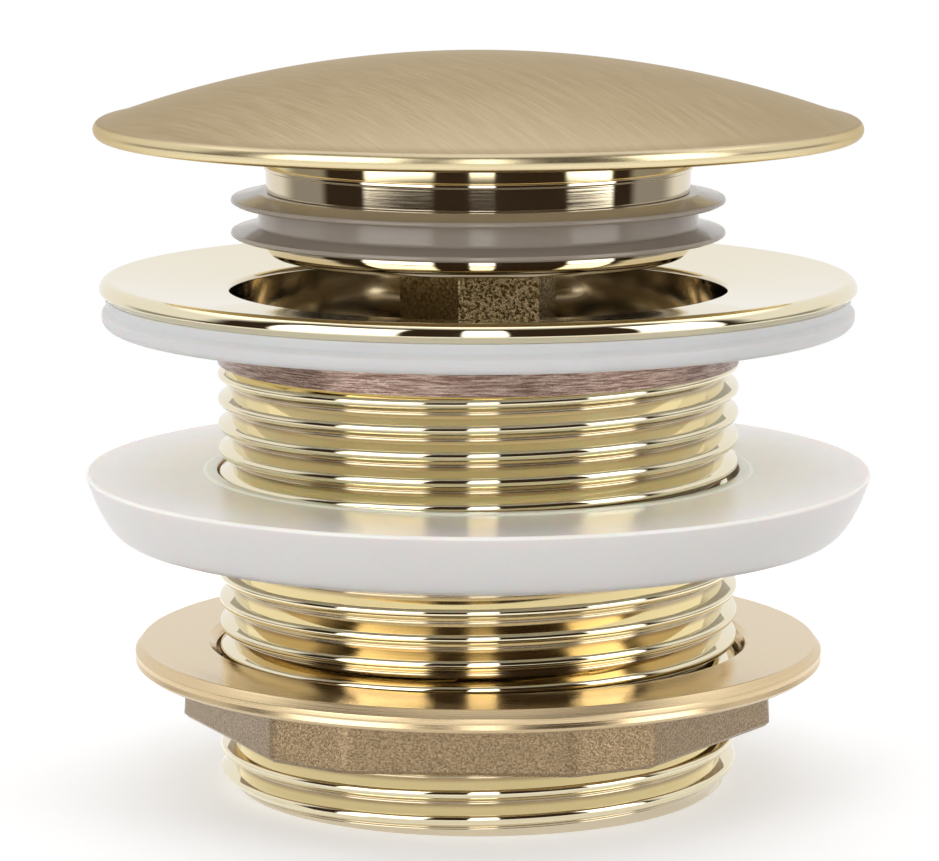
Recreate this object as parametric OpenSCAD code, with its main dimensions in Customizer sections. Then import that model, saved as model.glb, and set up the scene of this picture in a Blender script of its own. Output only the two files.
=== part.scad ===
/* [Body casting] */
// Diameter over the crests of the tail thread, G 1 1/2
tail_d = 47.8; // [40:0.1:60]
// Wall of the tail below the mouth
tail_wall = 3; // [2.5:0.1:4]
// Wall of the plain neck round the mouth
neck_wall = 1.2; // [1:0.1:2]
// Height of the flange's underside above the tail end
tail_h = 45.4; // [45:0.1:60]
// Chamfer that starts the thread at the tail end
tail_lead = 1.5; // [0.5:0.1:2.5]
// Diameter of the flange
flange_d = 69.2; // [66:0.1:90]
// Height of the flange's outer edge, chamfer and rounding included
flange_edge_h = 1.8; // [1.5:0.1:4]
// How far the flange's top face falls from its rim to the mouth
flange_dish = 1.2; // [0.2:0.1:1.5]

/* [Spider] */
// Number of arms that hold the hub
arm_count = 4; // [3:1:6]
// Width of an arm
arm_w = 3.4; // [2.5:0.1:5]
// Height of an arm
arm_h = 4; // [3:0.1:6]
// Diameter of the hub
hub_d = 21; // [19:0.1:24]

/* [Seals] */
// Thickness of the white seal under the flange
top_seal_t = 2.7; // [1.5:0.1:4]
// Diameter of the white seal
top_seal_d = 68.8; // [64:0.1:90]
// Diameter of the tapered lower seal at its rim
lower_seal_d = 72; // [66:0.1:95]
// Thickness of the lower seal
lower_seal_t = 5.8; // [4:0.1:8]
// How much the lower seal's radius shrinks towards its underside
lower_seal_taper = 3.2; // [1:0.1:5]
// Height of the lower seal's underside above the tail end
lower_seal_at = 23.5; // [22:0.1:26]

/* [Backnut] */
// Height of the nut's underside above the tail end
nut_at = 6.1; // [3:0.1:8]
// Wall between the tail thread and the nut's flats
nut_wall = 1.35; // [1.2:0.05:4]
// Height of the hexagon
nut_hex_h = 5.2; // [4:0.1:7]
// Thickness of the nut's flange
nut_flange_t = 2.1; // [1.5:0.1:3]
// How far the nut's flange stands out past the flats
nut_flange_w = 6.45; // [4:0.05:9]
// Share of the corner that is cut flat, across corners over across flats
nut_corner = 1.065; // [1.02:0.005:1.12]
// Turn of the hexagon seen from above
nut_turn = -4; // [-30:1:30]

/* [Plug] */
// Diameter of the cap
cap_d = 70; // [60:0.1:90]
// Radius of the cap's dome
cap_dome_r = 100; // [85:1:160]
// Thickness of the cap's shell
cap_t = 1.8; // [1.4:0.1:2.4]
// Thickness of the cap's rolled rim
cap_rim_t = 1.4; // [1:0.1:2.4]
// Gap from the flange to the cap's rim when the plug is up
cap_lift = 12.6; // [11.8:0.1:20]
// Height of the bare neck between the cap's rim and the drum
plug_neck_h = 2.5; // [1:0.1:5]
// Height of the drum
drum_h = 8.3; // [8:0.1:12]
// Radial gap between the drum and the mouth
drum_gap = 3.3; // [3:0.1:5]
// Wall of the drum below its thread
drum_wall = 2.4; // [2:0.1:4]
// Distance between the seal's two lips
lip_pitch = 3; // [2.4:0.1:4]

/* [Cartridge] */
// How far the plug can be pressed
travel = 11; // [8:0.1:11.4]
// Diameter of the cartridge thread in the hub
cart_d = 14; // [14:0.1:16]
// Wall of the cartridge barrel
cart_wall = 1.7; // [1.5:0.1:2]
// Size of the cartridge hexagon across its flats
hex_af = 13; // [12.5:0.1:15]
// Height of the cartridge hexagon
hex_h = 5.7; // [4:0.1:7]
// Turn of the cartridge hexagon seen from above
hex_turn = -43; // [-60:1:60]
// Diameter of the plunger rod
rod_d = 6; // [5:0.1:6.4]
// Rotor turn while the plug is pressed all the way
leg_turn = 70; // [60:1:70]
// How far the plug rises from full press to its latch
latch_rise = 1.5; // [1:0.1:2]
// Diameter of the guide pins
pin_d = 1.6; // [1.2:0.1:1.8]
// Wire of the return spring
spring_wire = 0.7; // [0.5:0.05:0.75]
// Turns of the return spring
spring_turns = 7; // [5:1:7]

/* [Fits] */
// Radial clearance of a turning or sliding fit
run_gap = 0.06; // [0.02:0.01:0.1]
// Radial clearance of a seal lip or rotor in its bore
wipe_gap = 0.1; // [0.05:0.01:0.1]
// Clearance of a loose ring on the tail
loose_gap = 0.3; // [0.2:0.05:0.6]
// Gap left at a stop
stop_gap = 0.3; // [0.2:0.05:0.6]

/* [Hidden] */
fine = 180;
small = 48;
eps = 0.01;

// Body levels and radii
tail_r = tail_d / 2;
bore_r = tail_r - tail_wall;
mouth_r = tail_r - neck_wall;
flange_r = flange_d / 2;
edge_chamfer = 0.6;
rim_round = 0.6;
mouth_round = 0.5;
crest_z = tail_h + flange_edge_h;
mouth_z = crest_z - flange_dish;

// Plug levels, hung from the cap's rim
cap_r = cap_d / 2;
rim_z = crest_z + cap_lift;
dome_z = rim_z + cap_rim_t - sqrt(pow(cap_dome_r, 2) - pow(cap_r - cap_rim_t / 2, 2)) + 0.1;
drum_r = mouth_r - drum_gap;
drum_top = rim_z - plug_neck_h;
drum_bottom = drum_top - drum_h;
drum_bore_r = drum_r - drum_wall;
joint_r = drum_bore_r + 0.8;
joint_h = 2.2;
spigot_wall = 2.2;
spigot_r = drum_r - 0.2;
groove_r = drum_r - 1;
groove_low = drum_bottom + 1.6;
groove_high = groove_low + lip_pitch + 1.4;
lip_r = mouth_r - wipe_gap;
lip_root_r = drum_r + 0.5;
lip_low = groove_low + 0.7;
lip_high = lip_low + lip_pitch;
lip_t = 0.8;

// The mouth's bore runs down to where the lower lip stops
mouth_floor = lip_low - travel - lip_t - 0.3;
seat_z = mouth_floor - 1.8;
arm_top = min(drum_bottom - travel - stop_gap - 0.1, seat_z - 0.1);
arm_low = arm_top - arm_h;
hub_top = arm_top + 3.4;

// Cartridge levels, built up and down from the hub's top face
cart_r = cart_d / 2;
cart_bore_r = cart_r - cart_wall;
collar_r = cart_r + 2.2;
collar_t = 1.5;
hex_low = hub_top + collar_t;
hex_top = hex_low + hex_h;
rod_r = rod_d / 2;
sleeve_r = rod_r + 1.4;
step_z = hex_top - 3.2;
sleeve_flange_t = 0.5;
sleeve_top = hex_top + sleeve_flange_t;
shoulder_top = step_z - stop_gap;
shoulder_t = 2.3;
shoulder_r = cart_bore_r - loose_gap;
thrust_t = 0.5;
thrust_low = shoulder_top - shoulder_t - thrust_t;
rotor_top = thrust_low - 0.1;
pin_r = pin_d / 2;
track_gap = 0.2;
track_end = pin_r + track_gap + 0.8;
rotor_h = travel + 2 * track_end;
rotor_low = rotor_top - rotor_h;
rotor_r = cart_bore_r - wipe_gap;
track_r = rod_r + 1;
pin_z = rotor_low + track_end;
cup_t = 0.8;
cup_low = rotor_low - 0.1 - cup_t;
clip_t = 0.7;
clip_low = cup_low - 0.1 - clip_t;
clip_groove_r = rod_r - 0.7;
rod_low = clip_low - 0.9;
spring_r = cart_bore_r - 0.35 - spring_wire / 2;
spring_solid_h = spring_turns * spring_wire + 0.6;
spring_h = travel + spring_solid_h;
spring_low = cup_low - spring_h;
base_t = 1.2;
base_low = spring_low - base_t;
circlip_t = 0.7;
circlip_low = base_low - 0.05 - circlip_t;
cart_low = circlip_low - 0.65;

// Stud end and the bush that holds the plug on it
insert_low = sleeve_top + travel + stop_gap + 0.2;
insert_r = rod_r + 2;
boss_r = insert_r + 2;
under_dome = dome_z + cap_dome_r - cap_t;
insert_top = under_dome - 0.3;
rod_top = insert_top - 0.6;

// Backnut radii
nut_bore_r = tail_r + loose_gap;
nut_af = tail_d + 2 * nut_wall;
nut_flange_r = nut_af / 2 + nut_flange_w;
nut_top = nut_at + nut_hex_h + nut_flange_t;

// Points of an elliptical arc, from angle a to angle b
function arc(x, y, rx, ry, a, b, n) =
    [for (i = [0:n]) [x + rx * cos(a + (b - a) * i / n), y + ry * sin(a + (b - a) * i / n)]];

// Flat ring from radius a to radius b
module ring(a, b, z, h, segments = fine) {
    translate([0, 0, z])
        difference() {
            cylinder(r = b, h = h, $fn = segments);
            translate([0, 0, -eps])
                cylinder(r = a, h = h + 2 * eps, $fn = segments);
        }
}

// Hexagonal prism with its flats facing Y, given across its flats
module hexagon(af, h) {
    linear_extrude(height = h)
        circle(d = af / cos(30), $fn = 6);
}

// Half section of the casting: tail, mouth and dished flange
module body_section() {
    polygon(concat(
        [[bore_r, 0], [tail_r - tail_lead, 0], [tail_r, tail_lead], [tail_r, tail_h]],
        [[flange_r - edge_chamfer, tail_h], [flange_r, tail_h + edge_chamfer]],
        arc(flange_r - rim_round, crest_z - rim_round, rim_round, rim_round, 0, 90, 5),
        arc(mouth_r + mouth_round, mouth_z - mouth_round, mouth_round, mouth_round, 90, 180, 4),
        [[mouth_r, mouth_floor], [bore_r, seat_z]]));
}

// Cross-section of an arm, round on top so that water runs off
module arm_section() {
    translate([-arm_w / 2, arm_low])
        square([arm_w, arm_h - arm_w / 2]);
    translate([0, arm_top - arm_w / 2])
        circle(d = arm_w, $fn = small);
}

module spider() {
    for (i = [0:arm_count - 1])
        rotate([0, 0, 45 + i * 360 / arm_count])
            rotate([90, 0, 90])
                linear_extrude(height = bore_r + 0.5)
                    arm_section();
    rotate_extrude($fn = fine)
        polygon([[0, arm_low], [hub_d / 2 - 0.6, arm_low], [hub_d / 2, arm_low + 0.6],
            [hub_d / 2, hub_top - 1], [hub_d / 2 - 1, hub_top], [0, hub_top]]);
}

module waste_body() {
    color("goldenrod")
        difference() {
            union() {
                rotate_extrude($fn = fine)
                    body_section();
                spider();
            }
            translate([0, 0, arm_low - 1])
                cylinder(r = cart_r + run_gap, h = hub_top - arm_low + 2, $fn = small);
        }
}

// Flat seal with a rounded lower edge and a small upper chamfer
module top_seal() {
    seal_r = top_seal_d / 2;
    low = tail_h - top_seal_t;
    color("white")
        rotate_extrude($fn = fine)
            polygon(concat(
                [[tail_r + loose_gap, low]],
                arc(seal_r - 1, low + 1, 1, 1, -90, 0, 5),
                [[seal_r, tail_h - 0.9], [seal_r - 0.4, tail_h], [tail_r + loose_gap, tail_h]]));
}

// Threaded barrel with a collar that seats on the hub and a hexagon above it
module cartridge_body() {
    color("khaki")
        difference() {
            union() {
                translate([0, 0, cart_low])
                    cylinder(r = cart_r, h = hub_top - cart_low, $fn = small);
                translate([0, 0, hub_top])
                    cylinder(r = collar_r, h = collar_t, $fn = small);
                intersection() {
                    translate([0, 0, hex_low])
                        rotate([0, 0, hex_turn])
                            hexagon(hex_af, hex_h);
                    rotate_extrude($fn = small)
                        polygon([[0, hex_low], [hex_af, hex_low], [hex_af, hex_top - hex_af / 2],
                            [hex_af / 2, hex_top], [0, hex_top]]);
                }
            }
            translate([0, 0, cart_low - 1])
                cylinder(r = cart_bore_r, h = step_z - cart_low + 1, $fn = small);
            translate([0, 0, step_z - 1])
                cylinder(r = sleeve_r, h = hex_top - step_z + 2, $fn = small);
            translate([0, 0, circlip_low - 0.05])
                cylinder(r = cart_bore_r + 0.6, h = circlip_t + 0.1, $fn = small);
            for (side = [0, 180])
                rotate([0, 0, side])
                    translate([track_r + track_gap, 0, pin_z])
                        rotate([0, 90, 0])
                            cylinder(r = pin_r, h = cart_r, $fn = small);
        }
}

module guide_sleeve() {
    color("tan")
        difference() {
            union() {
                translate([0, 0, step_z])
                    cylinder(r = sleeve_r, h = sleeve_top - step_z, $fn = small);
                translate([0, 0, hex_top])
                    cylinder(r = sleeve_r + 0.9, h = sleeve_flange_t, $fn = small);
            }
            translate([0, 0, step_z - 1])
                cylinder(r = rod_r + run_gap, h = sleeve_top - step_z + 2, $fn = small);
        }
}

module guide_pins() {
    color("silver")
        for (side = [0, 180])
            rotate([0, 0, side])
                translate([track_r + track_gap, 0, pin_z])
                    rotate([0, 90, 0])
                        cylinder(r = pin_r, h = cart_r - track_r - track_gap - 0.1, $fn = small);
}

// Disc that closes the barrel, with a pilot inside the spring
module cartridge_base() {
    color("khaki")
        rotate_extrude($fn = small)
            polygon([[0, base_low], [cart_bore_r, base_low], [cart_bore_r, spring_low],
                [spring_r - spring_wire / 2 - 0.3, spring_low],
                [spring_r - spring_wire / 2 - 0.6, spring_low + 0.9], [0, spring_low + 0.9]]);
}

// Internal circlip, open on one side
module retaining_clip() {
    color("silver")
        difference() {
            ring(cart_bore_r - 0.7, cart_bore_r + 0.55, circlip_low, circlip_t, small);
            translate([0, -1.5, circlip_low - 1])
                cube([cart_d, 3, circlip_t + 2]);
        }
}

// Height of the spring's centre line after u turns, with closed end turns
function spring_z(u) =
    spring_low + spring_wire / 2 + (
        u < 1 ? u * spring_wire
        : u > spring_turns - 1 ? spring_h - spring_wire - (spring_turns - u) * spring_wire
        : spring_wire + (u - 1) * (spring_h - 3 * spring_wire) / (spring_turns - 2));

module return_spring() {
    steps = 24;
    sides = 8;
    rings = spring_turns * steps;
    points = [for (i = [0:rings], k = [0:sides - 1])
        let (turn = 360 * i / steps,
            side = 360 * k / sides,
            radius = spring_r + spring_wire / 2 * cos(side))
        [radius * cos(turn), radius * sin(turn),
            spring_z(i / steps) + spring_wire / 2 * sin(side)]];
    walls = [for (i = [0:rings - 1], k = [0:sides - 1])
        [i * sides + k, i * sides + (k + 1) % sides,
            (i + 1) * sides + (k + 1) % sides, (i + 1) * sides + k]];
    start_cap = [[for (k = [0:sides - 1]) sides - 1 - k]];
    end_cap = [[for (k = [0:sides - 1]) rings * sides + k]];
    color("silver")
        polyhedron(points, concat(walls, start_cap, end_cap));
}

module hub_washer() {
    color("silver")
        ring(cart_r + run_gap, hub_d / 2 - 0.5, arm_low - 0.8, 0.8, small);
}

module hub_lock_nut() {
    nut_h = 2.8;
    color("khaki")
        translate([0, 0, arm_low - 0.8 - nut_h])
            difference() {
                hexagon(hub_d - 2, nut_h);
                translate([0, 0, -1])
                    cylinder(r = cart_r + run_gap, h = nut_h + 2, $fn = small);
            }
}

// Rod with its shoulder, its clip groove and the stud end
module plunger_rod() {
    color("silver")
        rotate_extrude($fn = small)
            polygon([[0, rod_low], [rod_r - 0.5, rod_low], [rod_r, rod_low + 0.5],
                [rod_r, clip_low - 0.05], [clip_groove_r, clip_low - 0.05],
                [clip_groove_r, clip_low + clip_t + 0.05], [rod_r, clip_low + clip_t + 0.05],
                [rod_r, shoulder_top - shoulder_t], [shoulder_r, shoulder_top - shoulder_t],
                [shoulder_r, shoulder_top], [rod_r, shoulder_top],
                [rod_r, rod_top - 0.8], [rod_r - 0.8, rod_top], [0, rod_top]]);
}

module thrust_washer() {
    color("khaki")
        ring(rod_r, shoulder_r, thrust_low, thrust_t, small);
}

module spring_cup() {
    color("khaki")
        ring(rod_r, cart_bore_r - loose_gap, cup_low, cup_t, small);
}

// Open clip in the groove of the rod
module rod_clip() {
    color("silver")
        difference() {
            ring(clip_groove_r, spring_r - spring_wire / 2 - 0.25, clip_low, clip_t, small);
            translate([0, -clip_groove_r * 0.8, clip_low - 1])
                cube([cart_d, clip_groove_r * 1.6, clip_t + 2]);
        }
}

// Helical stretch of the track: starts at angle a and height z, turns by sweep over height h
module track_leg(a, z, h, sweep, width, cuts) {
    rotate([0, 0, a])
        translate([0, 0, z])
            linear_extrude(height = h, twist = -sweep, slices = cuts)
                translate([track_r, -width / 2])
                    square([cart_r, width]);
}

module track_end(a, z) {
    rotate([0, 0, a])
        translate([track_r, 0, z])
            rotate([0, 90, 0])
                cylinder(r = pin_r + track_gap, h = cart_r, $fn = small);
}

// One half of the closed zigzag track: up leg, latch notch and down leg
module track() {
    notch_turn = (180 - 2 * leg_turn) / 2;
    peak_z = pin_z + travel;
    latch_z = peak_z - latch_rise;
    slot_w = 2 * (pin_r + track_gap);
    leg_w = slot_w * sqrt(1 + pow(leg_turn * PI / 180 * rotor_r / travel, 2));
    notch_w = slot_w * sqrt(1 + pow(notch_turn * PI / 180 * rotor_r / latch_rise, 2));
    track_leg(0, pin_z, travel, leg_turn, leg_w, 16);
    track_leg(leg_turn + notch_turn, latch_z, latch_rise, -notch_turn, notch_w, 4);
    track_leg(leg_turn + notch_turn, latch_z, latch_rise, notch_turn, notch_w, 4);
    track_leg(180, pin_z, travel, -leg_turn, leg_w, 16);
    track_end(0, pin_z);
    track_end(leg_turn, peak_z);
    track_end(leg_turn + notch_turn, latch_z);
    track_end(180 - leg_turn, peak_z);
}

module index_rotor() {
    color("white")
        difference() {
            translate([0, 0, rotor_low])
                cylinder(r = rotor_r, h = rotor_h, $fn = small);
            translate([0, 0, rotor_low - 1])
                cylinder(r = rod_r + run_gap, h = rotor_h + 2, $fn = small);
            for (side = [0, 180])
                rotate([0, 0, side])
                    track();
        }
}

// Half section of the cap: domed shell, rolled rim, spigot and centre boss
module cap_section() {
    bead_r = cap_rim_t / 2;
    spigot_low = drum_top - joint_h;
    intersection() {
        translate([0, dome_z])
            circle(r = cap_dome_r, $fn = 720);
        union() {
            difference() {
                translate([0, rim_z])
                    square([cap_r - bead_r, cap_r]);
                translate([0, dome_z])
                    circle(r = cap_dome_r - cap_t, $fn = 720);
            }
            translate([spigot_r - spigot_wall - 1.4, drum_top])
                square([spigot_wall + 1.4, cap_r / 5]);
            translate([joint_r - spigot_wall, spigot_low])
                square([spigot_wall, joint_h + 1]);
            translate([insert_r, insert_low])
                square([boss_r - insert_r, cap_r / 4]);
            translate([0, insert_top])
                square([boss_r, cap_r / 4]);
        }
    }
    translate([cap_r - bead_r, rim_z + bead_r])
        circle(r = bead_r, $fn = small);
}

module plug_cap() {
    color("darkkhaki")
        rotate_extrude($fn = fine)
            cap_section();
}

// Skirt with a raised line at the top, the seal's groove and a rounded foot
module plug_drum() {
    foot = 1;
    line_h = 0.35;
    color("goldenrod")
        rotate_extrude($fn = fine)
            polygon(concat(
                [[drum_bore_r, drum_bottom]],
                arc(drum_r - foot, drum_bottom + foot, foot, foot, -90, 0, 5),
                [[drum_r, groove_low], [groove_r, groove_low], [groove_r, groove_high]],
                [[drum_r, groove_high], [drum_r, drum_top - line_h], [drum_r + 0.15, drum_top - line_h]],
                [[drum_r + 0.15, drum_top], [joint_r, drum_top], [joint_r, drum_top - joint_h]],
                [[drum_bore_r, drum_top - joint_h]]));
}

// Half section of one lip, thin at its tip and slightly drooping
module lip(z) {
    polygon(concat(
        [[groove_r, z - lip_t / 2 - 0.1], [lip_root_r, z - lip_t / 2 - 0.1]],
        arc(lip_r - 0.25, z, 0.25, 0.25, -90, 90, 6),
        [[lip_root_r, z + lip_t / 2 + 0.15], [groove_r, z + lip_t / 2 + 0.15]]));
}

module plug_seal() {
    color("rosybrown")
        rotate_extrude($fn = fine) {
            translate([groove_r, groove_low])
                square([lip_root_r - groove_r, groove_high - groove_low]);
            lip(lip_low);
            lip(lip_high);
        }
}

module stud_insert() {
    color("khaki")
        ring(rod_r + run_gap, insert_r, insert_low, insert_top - insert_low, small);
}

// Tapered washer with a bowl-shaped outer wall and a low ring round its bore
module lower_seal() {
    r = lower_seal_d / 2;
    inner = tail_r + loose_gap;
    top = lower_seal_at + lower_seal_t;
    color("ghostwhite")
        rotate_extrude($fn = fine)
            polygon(concat(
                [[inner, lower_seal_at]],
                arc(r - lower_seal_taper, top - 0.6, lower_seal_taper, lower_seal_t - 0.6, -90, 0, 10),
                [[r, top - 0.2], [r - 0.2, top], [inner + 1.2, top - 0.1]],
                [[inner + 1, top + 0.25], [inner, top + 0.25]]));
}

module backnut() {
    flange_low = nut_at + nut_hex_h;
    color("peru")
        difference() {
            union() {
                translate([0, 0, nut_at])
                    rotate([0, 0, nut_turn])
                        intersection() {
                            hexagon(nut_af, nut_hex_h + eps);
                            rotate([0, 0, 30])
                                hexagon(nut_af * nut_corner, nut_hex_h + eps);
                        }
                rotate_extrude($fn = fine)
                    polygon([[0, flange_low], [nut_flange_r - 0.5, flange_low],
                        [nut_flange_r, flange_low + 0.4], [nut_flange_r, nut_top - 0.9],
                        [nut_flange_r - 0.7, nut_top], [0, nut_top]]);
            }
            translate([0, 0, nut_at - 1])
                cylinder(r = nut_bore_r, h = nut_top - nut_at + 2, $fn = fine);
            translate([0, 0, nut_top - 0.8])
                cylinder(r1 = nut_bore_r, r2 = nut_bore_r + 0.8 + eps, h = 0.8 + eps, $fn = fine);
        }
}

waste_body();
top_seal();
cartridge_body();
guide_sleeve();
guide_pins();
cartridge_base();
retaining_clip();
return_spring();
hub_washer();
hub_lock_nut();
plunger_rod();
thrust_washer();
spring_cup();
rod_clip();
index_rotor();
plug_cap();
plug_drum();
plug_seal();
stud_insert();
lower_seal();
backnut();
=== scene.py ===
import bmesh
import bpy
import numpy as np
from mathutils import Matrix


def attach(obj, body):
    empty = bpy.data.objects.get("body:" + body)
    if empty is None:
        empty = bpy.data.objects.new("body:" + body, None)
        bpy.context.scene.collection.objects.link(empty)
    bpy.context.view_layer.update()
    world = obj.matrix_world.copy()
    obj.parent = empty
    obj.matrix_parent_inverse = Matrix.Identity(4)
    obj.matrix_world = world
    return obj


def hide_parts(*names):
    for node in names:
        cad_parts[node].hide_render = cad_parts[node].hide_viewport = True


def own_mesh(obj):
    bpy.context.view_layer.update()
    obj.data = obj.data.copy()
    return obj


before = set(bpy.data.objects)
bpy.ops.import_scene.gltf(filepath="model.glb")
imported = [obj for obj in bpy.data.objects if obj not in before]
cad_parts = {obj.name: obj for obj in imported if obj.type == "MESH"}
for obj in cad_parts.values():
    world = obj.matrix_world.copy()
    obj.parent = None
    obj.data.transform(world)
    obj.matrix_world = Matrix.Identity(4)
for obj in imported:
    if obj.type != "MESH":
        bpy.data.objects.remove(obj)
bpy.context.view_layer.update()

# Body casting
# The flange, mouth and tail are one brass casting, turned, threaded G 1 1/2 and plated a pale gold.
# The short neck between the flange and the thread keeps the red-brown of the brushed metal.

MM = 0.001
FULL_TURN = 2 * np.pi
COLUMNS = 289
FINE_COLUMNS = 361
FILLET_STEPS = 5
SHARP_EDGE = 32
MERGE = 2e-7

TAIL_R = 23.9
TAIL_END_R = 22.4
BORE_R = 20.9
BORE_TOP = 38.1
MOUTH_R = 22.7
MOUTH_LOW = 39.6
FLANGE_R = 34.6
FLANGE_LOW = 45.4
FLANGE_CREST = 47.2
FLANGE_FALL = 1.2
FLANGE_EDGE = 0.6

THREAD_PITCH = 2.309
THREAD_TOP = 39.3
THREAD_PHASE = 1.2
THREAD_START = 180.0
UPPER_FLANK = 56.5
LOWER_FLANK = 64.0
CREST_ARC = 0.22
ROOT_ARC = 0.04
THREAD_ARC_POINTS = 7

PALE_GOLD = (0.82, 0.745, 0.53)
WARM_GOLD = (0.86, 0.785, 0.57)
MOUTH_GOLD = (0.68, 0.60, 0.46)
NECK_DARK = (0.17, 0.095, 0.07)
NECK_LIGHT = (0.49, 0.37, 0.31)


def arc(r, z, radius, start, end, steps):
    """Points (r, z) of a circle: its centre plus radius times the cosine and sine of angles in degrees."""
    t = np.radians(np.linspace(start, end, steps + 1))
    return np.stack([r + radius * np.cos(t), z + radius * np.sin(t)], axis=1)


def rounded(corners):
    """A profile of (r, z, fillet) corners, each turned into an arc that touches both of its sides.
    The arc's centre lies on the corner's bisector, fillet / sin(half angle) away, and its points
    turn evenly from one touching point to the other."""
    corners = np.asarray(corners, float)
    point, fillet = corners[:, :2], corners[:, 2:]
    back = np.roll(point, 1, axis=0) - point
    ahead = np.roll(point, -1, axis=0) - point
    back /= np.linalg.norm(back, axis=1, keepdims=True)
    ahead /= np.linalg.norm(ahead, axis=1, keepdims=True)
    half = np.arccos(np.clip(np.sum(back * ahead, axis=1, keepdims=True), -1, 1)) / 2
    bisector = back + ahead
    bisector /= np.maximum(np.linalg.norm(bisector, axis=1, keepdims=True), 1e-9)
    centre = point + bisector * fillet / np.sin(half)
    first = point + back * fillet / np.tan(half) - centre
    last = point + ahead * fillet / np.tan(half) - centre
    sweep = np.maximum(np.pi - 2 * half, 1e-6)[:, None]
    t = np.linspace(0, 1, FILLET_STEPS + 1)[None, :, None]
    spokes = (np.sin((1 - t) * sweep) * first[:, None] + np.sin(t * sweep) * last[:, None]) / np.sin(sweep)
    return (centre[:, None] + spokes).reshape(-1, 2)


def solid(name, spots, faces):
    """A mesh object from points in mm and faces. Points in one place are merged, which closes seams
    and poles, and edges that bend by more than SHARP_EDGE degrees stay crisp. Normals are weighted by
    area, so that a flat or a cylinder beside a small fillet reflects evenly up to its end."""
    mesh = bpy.data.meshes.new(name)
    mesh.from_pydata((spots.reshape(-1, 3) * MM).tolist(), [], faces.reshape(-1, 4).tolist())
    work = bmesh.new()
    work.from_mesh(mesh)
    bmesh.ops.remove_doubles(work, verts=work.verts, dist=MERGE)
    bmesh.ops.recalc_face_normals(work, faces=work.faces)
    work.to_mesh(mesh)
    work.free()
    mesh.shade_smooth()
    mesh.set_sharp_from_angle(angle=np.radians(SHARP_EDGE))
    piece = bpy.data.objects.new(name, mesh)
    bpy.context.scene.collection.objects.link(piece)
    weighted = piece.modifiers.new("weighted_normals", "WEIGHTED_NORMAL")
    weighted.mode = "FACE_AREA"
    weighted.weight = 100
    weighted.keep_sharp = True
    return piece


def levels(columns, *pairs):
    """Rows of points round the Z axis from (radius, height) pairs in mm, where each is one number or
    has a value for every column."""
    rows = [[np.broadcast_to(value, columns) for value in pair] for pair in pairs]
    return np.moveaxis(np.array(rows, float), 1, 2)


def skin(name, rows, start=0.0, closed=True):
    """The surface through rows of (radius, height): column j of a row stands at azimuth start + a full
    turn times j / (columns - 1). closed joins the last row to the first."""
    count, columns = rows.shape[:2]
    radius, height = rows[..., 0], rows[..., 1]
    azimuth = np.radians(start) + FULL_TURN * np.arange(columns) / (columns - 1)
    spots = np.stack([radius * np.cos(azimuth), radius * np.sin(azimuth), height], axis=-1)
    row = np.arange(count if closed else count - 1)[:, None]
    column = np.arange(columns - 1)[None, :]
    here = row * columns + column
    above = (row + 1) % count * columns + column
    return solid(name, spots, np.stack([here, here + 1, above + 1, above], axis=-1))


def lathe(name, profile, columns=COLUMNS, closed=True):
    """The profile's (r, z) points turned round the Z axis."""
    return skin(name, levels(columns, *profile), closed=closed)


def thread_rows(crest, pitch, low, high, phase, columns=COLUMNS):
    """Rows of a right-hand thread: height = pitch (turns + azimuth / full turn) + phase, cut off square
    at low and high. The profile is two straight flanks, which face UPPER_FLANK degrees up and
    LOWER_FLANK degrees down, with an arc at the crest and one at the root. The arcs' radii are shares
    of the pitch. The root's place is where both flanks reach the same depth, (a + b) (1 - cos) + run tan."""
    lean = np.radians([UPPER_FLANK, -LOWER_FLANK])
    arcs = CREST_ARC + ROOT_ARC
    across = arcs * np.abs(np.sin(lean))
    drop = arcs * (1 - np.cos(lean)) - across * np.abs(np.tan(lean))
    slope = np.abs(np.tan(lean))
    root_at = (drop[1] - drop[0] + slope[1]) / slope.sum()
    depth = drop[0] + root_at * slope[0]
    crest_lean = np.linspace(lean[1], lean[0], THREAD_ARC_POINTS)
    root_lean = np.linspace(lean[0], lean[1], THREAD_ARC_POINTS)
    one_turn = np.concatenate([CREST_ARC * np.sin(crest_lean), root_at - ROOT_ARC * np.sin(root_lean)])
    one_drop = pitch * np.concatenate([
        CREST_ARC * (np.cos(crest_lean) - 1), ROOT_ARC * (1 - np.cos(root_lean)) - depth])
    turns = np.arange(int(np.floor((low - phase) / pitch)) - 2, int(np.ceil((high - phase) / pitch)) + 1)
    share = np.arange(columns) / (columns - 1)
    along = (turns[:, None] + one_turn[None, :]).reshape(-1, 1) + share[None, :]
    height = np.clip(along * pitch + phase, low, high)
    turn = (height - phase) / pitch - share[None, :]
    return np.stack([crest + np.interp(turn, one_turn, one_drop, period=1.0), height], axis=-1)


tail = thread_rows(TAIL_R, THREAD_PITCH, 0.0, THREAD_TOP, THREAD_PHASE)
tail[..., 0] = np.minimum(tail[..., 0], TAIL_END_R + tail[..., 1])
upper = rounded([
    (TAIL_R, THREAD_TOP, 0.06), (TAIL_R, FLANGE_LOW, 0.15), (FLANGE_R - FLANGE_EDGE, FLANGE_LOW, 0.05),
    (FLANGE_R, FLANGE_LOW + FLANGE_EDGE, 0.12), (FLANGE_R, FLANGE_CREST, 0.95),
    (MOUTH_R, FLANGE_CREST - FLANGE_FALL, 0.5), (MOUTH_R, MOUTH_LOW, 0.1), (BORE_R, BORE_TOP, 0.3),
    (BORE_R, 0.0, 0.3), (TAIL_END_R, 0.0, 0)])
waste = skin("flanged_tail", np.concatenate([tail, levels(COLUMNS, *upper)]), THREAD_START)


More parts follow.
